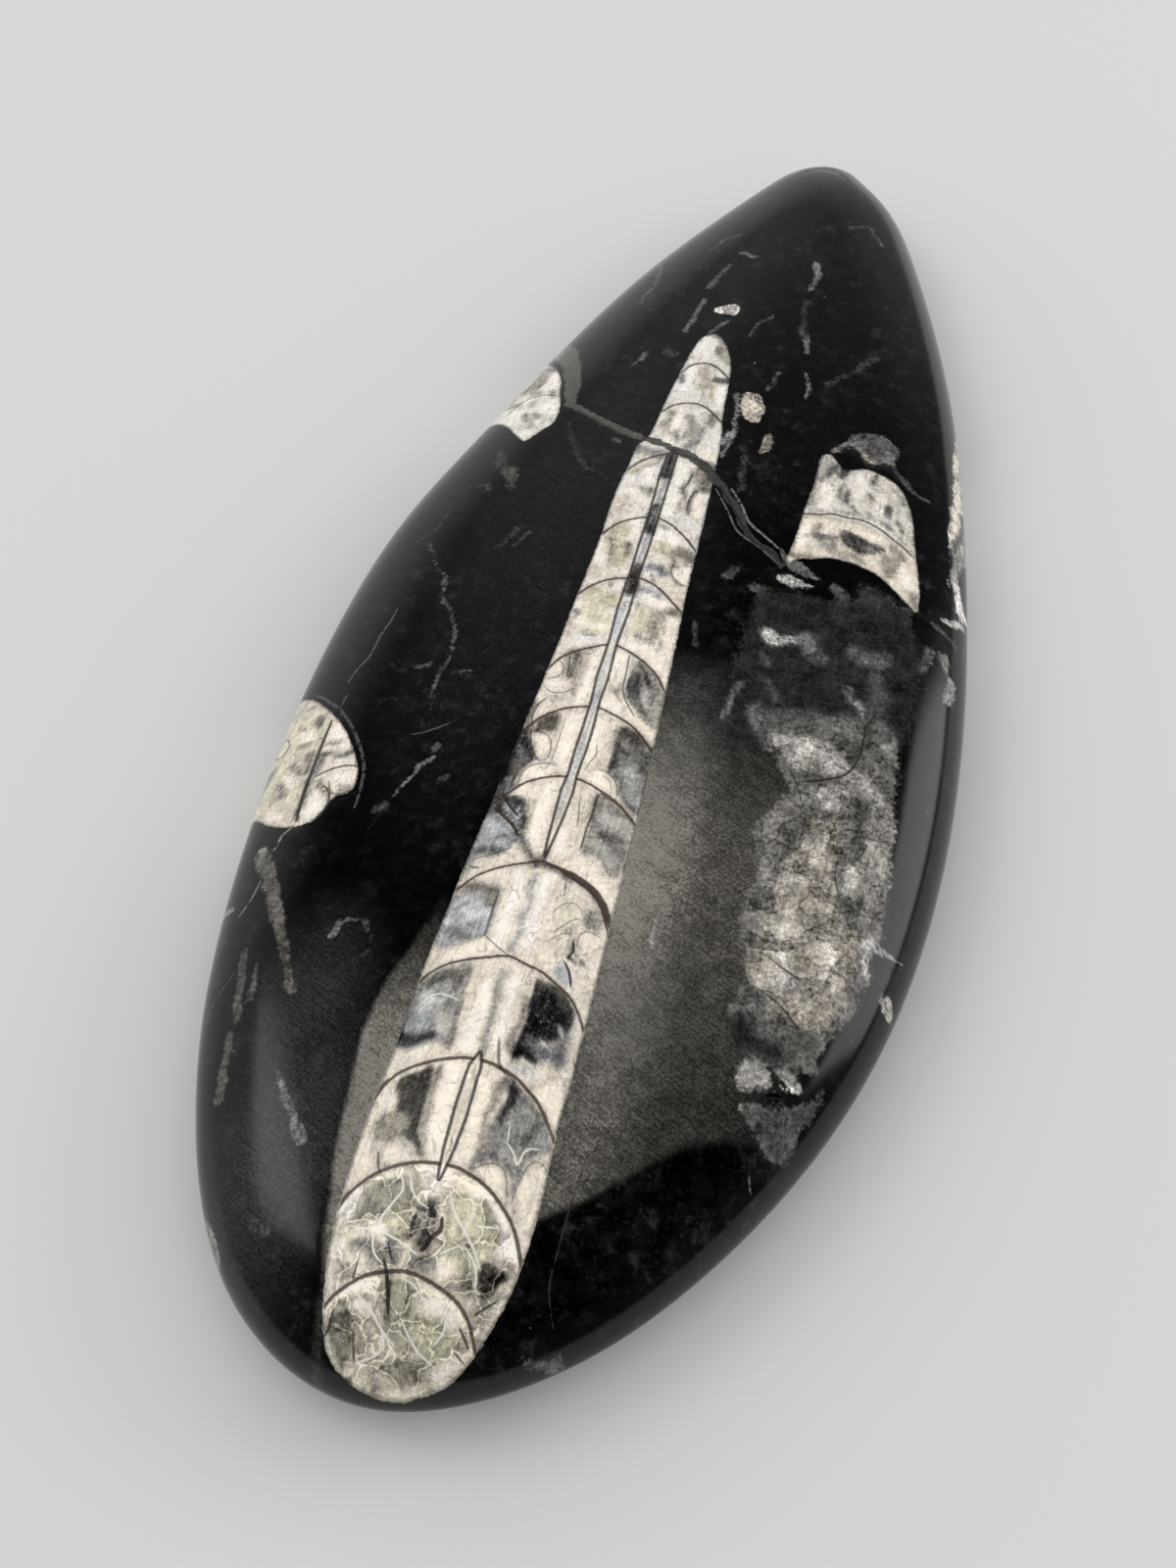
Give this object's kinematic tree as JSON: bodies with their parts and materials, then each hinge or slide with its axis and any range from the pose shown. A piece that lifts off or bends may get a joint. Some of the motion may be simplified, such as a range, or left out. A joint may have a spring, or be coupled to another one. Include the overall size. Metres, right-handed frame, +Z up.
{
  "type": "orthoceras fossil slab",
  "caption": "Leaf-shaped slab of polished black limestone, flat underneath and domed on top, with a tapering chambered orthoceras fossil standing up along its length.",
  "frame": {"origin": "middle of the bounding box in plan, on the plane of the sawn underside", "axes": "+Z up out of the polished face, +Y along the slab towards its pointed end, +X across the slab to the right when the pointed end is away from the viewer"},
  "size_m": [0.0784, 0.1999, 0.0161],
  "materials": {
    "polished_limestone": "polished black limestone with cream and white calcite fossils in it, matt in the ground hollows beside the large fossil"
  },
  "bodies": {
    "root": {"fossil_slab": "polished_limestone"}
  },
  "joints": []
}
